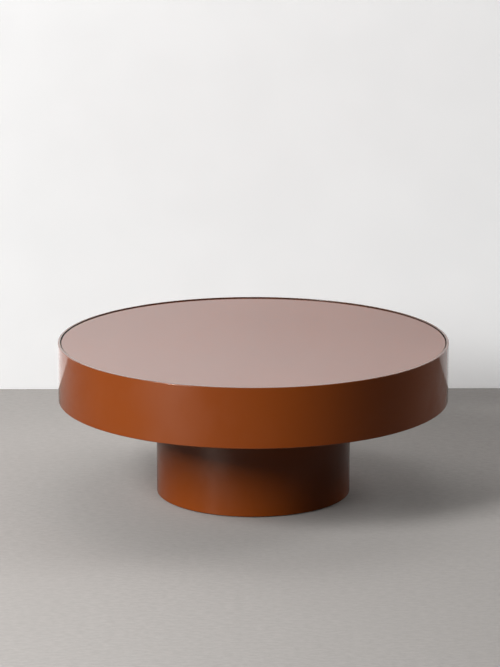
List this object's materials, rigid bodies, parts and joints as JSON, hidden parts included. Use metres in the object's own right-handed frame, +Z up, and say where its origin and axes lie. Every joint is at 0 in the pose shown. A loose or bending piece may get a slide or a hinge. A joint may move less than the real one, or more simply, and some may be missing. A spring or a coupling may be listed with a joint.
{
  "type": "cocktail table",
  "caption": "Round drum-topped cocktail table with an inset glass top and a gloss-lacquered drum wall, on a cylindrical pedestal with screw levelling feet.",
  "frame": {"origin": "on the floor, under the centre of the pedestal", "axes": "+Z up along the table's axis, -Y towards the camera of the picture"},
  "size_m": [1.016, 1.016, 0.407],
  "materials": {
    "gloss_lacquer": "high-gloss rust-brown lacquer on bent plywood",
    "satin_lacquer": "satin rust-brown lacquer on fibreboard",
    "painted_glass": "toughened glass, painted on its underside, polished face",
    "clear_bumper": "clear soft plastic",
    "fibreboard": "raw fibreboard",
    "birch_plywood": "raw birch plywood",
    "softwood": "planed softwood",
    "zinc_steel": "bright zinc plate",
    "black_steel": "black oxide",
    "nylon": "black nylon"
  },
  "bodies": {
    "table": {"bolt_washers": "zinc_steel", "connector_bolts": "black_steel", "core_rib_cross_1": "birch_plywood", "core_rib_cross_2": "birch_plywood", "core_rib_cross_3": "birch_plywood", "core_rib_long_1": "birch_plywood", "core_rib_long_2": "birch_plywood", "core_rib_long_3": "birch_plywood", "deck_panel": "fibreboard", "drum_hoop": "gloss_lacquer", "glass_bumpers": "clear_bumper", "glass_top": "painted_glass", "insert_nuts": "zinc_steel", "leveller_sockets": "zinc_steel", "pedestal_base_ring": "birch_plywood", "pedestal_former_ring": "birch_plywood", "pedestal_head_plate": "birch_plywood", "pedestal_hoop": "gloss_lacquer", "pedestal_stile_1": "softwood", "pedestal_stile_2": "softwood", "pedestal_stile_3": "softwood", "pedestal_stile_4": "softwood", "soffit_panel": "satin_lacquer", "stile_screws": "zinc_steel"},
    "leveller_pad_1": {"leveller_pad_1": "nylon"},
    "leveller_stem_1": {"leveller_stem_1": "zinc_steel"},
    "leveller_pad_2": {"leveller_pad_2": "nylon"},
    "leveller_stem_2": {"leveller_stem_2": "zinc_steel"},
    "leveller_pad_3": {"leveller_pad_3": "nylon"},
    "leveller_stem_3": {"leveller_stem_3": "zinc_steel"},
    "leveller_pad_4": {"leveller_pad_4": "nylon"},
    "leveller_stem_4": {"leveller_stem_4": "zinc_steel"}
  },
  "joints": [
    {"name": "leveller_1_travel", "type": "slide", "parent": "table", "child": "leveller_pad_1", "axis": [0, 0, -1], "range_m": [0, 0.0125]},
    {"name": "leveller_1_turn", "type": "hinge", "parent": "leveller_pad_1", "child": "leveller_stem_1", "pos_m": [0.2073, 0, 0.014], "axis": [0, 0, -1], "range_deg": [0, 3600]},
    {"name": "leveller_2_travel", "type": "slide", "parent": "table", "child": "leveller_pad_2", "axis": [0, 0, -1], "range_m": [0, 0.0125]},
    {"name": "leveller_2_turn", "type": "hinge", "parent": "leveller_pad_2", "child": "leveller_stem_2", "pos_m": [0, 0.2073, 0.014], "axis": [0, 0, -1], "range_deg": [0, 3600]},
    {"name": "leveller_3_travel", "type": "slide", "parent": "table", "child": "leveller_pad_3", "axis": [0, 0, -1], "range_m": [0, 0.0125]},
    {"name": "leveller_3_turn", "type": "hinge", "parent": "leveller_pad_3", "child": "leveller_stem_3", "pos_m": [-0.2073, 0, 0.014], "axis": [0, 0, -1], "range_deg": [0, 3600]},
    {"name": "leveller_4_travel", "type": "slide", "parent": "table", "child": "leveller_pad_4", "axis": [0, 0, -1], "range_m": [0, 0.0125]},
    {"name": "leveller_4_turn", "type": "hinge", "parent": "leveller_pad_4", "child": "leveller_stem_4", "pos_m": [0, -0.2073, 0.014], "axis": [0, 0, -1], "range_deg": [0, 3600]}
  ],
  "couplings": [
    {"joint": "leveller_1_turn", "follows": "leveller_1_travel", "rad_per_m": 5026.5},
    {"joint": "leveller_2_turn", "follows": "leveller_2_travel", "rad_per_m": 5026.5},
    {"joint": "leveller_3_turn", "follows": "leveller_3_travel", "rad_per_m": 5026.5},
    {"joint": "leveller_4_turn", "follows": "leveller_4_travel", "rad_per_m": 5026.5}
  ]
}
